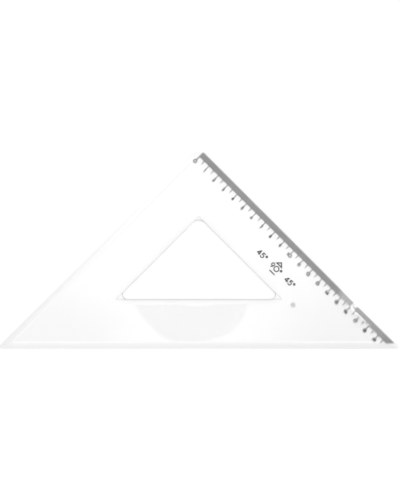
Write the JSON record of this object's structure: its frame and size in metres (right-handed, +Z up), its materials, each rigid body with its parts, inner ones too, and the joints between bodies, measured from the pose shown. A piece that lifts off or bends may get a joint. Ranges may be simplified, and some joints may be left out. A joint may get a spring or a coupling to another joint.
{
  "type": "set square",
  "caption": "Clear 45 degree set square with bevelled edges, a triangular finger window and a centimetre scale along one leg.",
  "frame": {"origin": "middle of the overall box in X and Y, on the printed underside", "axes": "+X along the long edge towards the end of the scale, +Y from the long edge to the right angle, +Z up through the plate"},
  "size_m": [0.3004, 0.1484, 0.002],
  "materials": {
    "clear_plastic": "clear, polished by the mould, fine handling scratches",
    "scale_ink": "matt black stamping ink, seen through the plate",
    "legend_ink": "matt black stamping ink, denser than the scale's"
  },
  "bodies": {
    "root": {"angle_legend_left": "legend_ink", "angle_legend_middle": "legend_ink", "angle_legend_right": "legend_ink", "centimetre_marks": "scale_ink", "clear_plate": "clear_plastic", "half_centimetre_marks": "scale_ink", "legend_bar": "legend_ink", "millimetre_marks": "scale_ink", "numeral_00": "scale_ink", "numeral_01": "scale_ink", "numeral_02": "scale_ink", "numeral_03": "scale_ink", "numeral_04": "scale_ink", "numeral_05": "scale_ink", "numeral_06": "scale_ink", "numeral_07": "scale_ink", "numeral_08": "scale_ink", "numeral_09": "scale_ink", "numeral_10": "scale_ink", "numeral_11": "scale_ink", "numeral_12": "scale_ink", "numeral_13": "scale_ink", "numeral_14": "scale_ink", "numeral_15": "scale_ink", "numeral_16": "scale_ink", "numeral_17": "scale_ink", "numeral_18": "scale_ink", "numeral_19": "scale_ink", "triangle_sign": "legend_ink"}
  },
  "joints": []
}
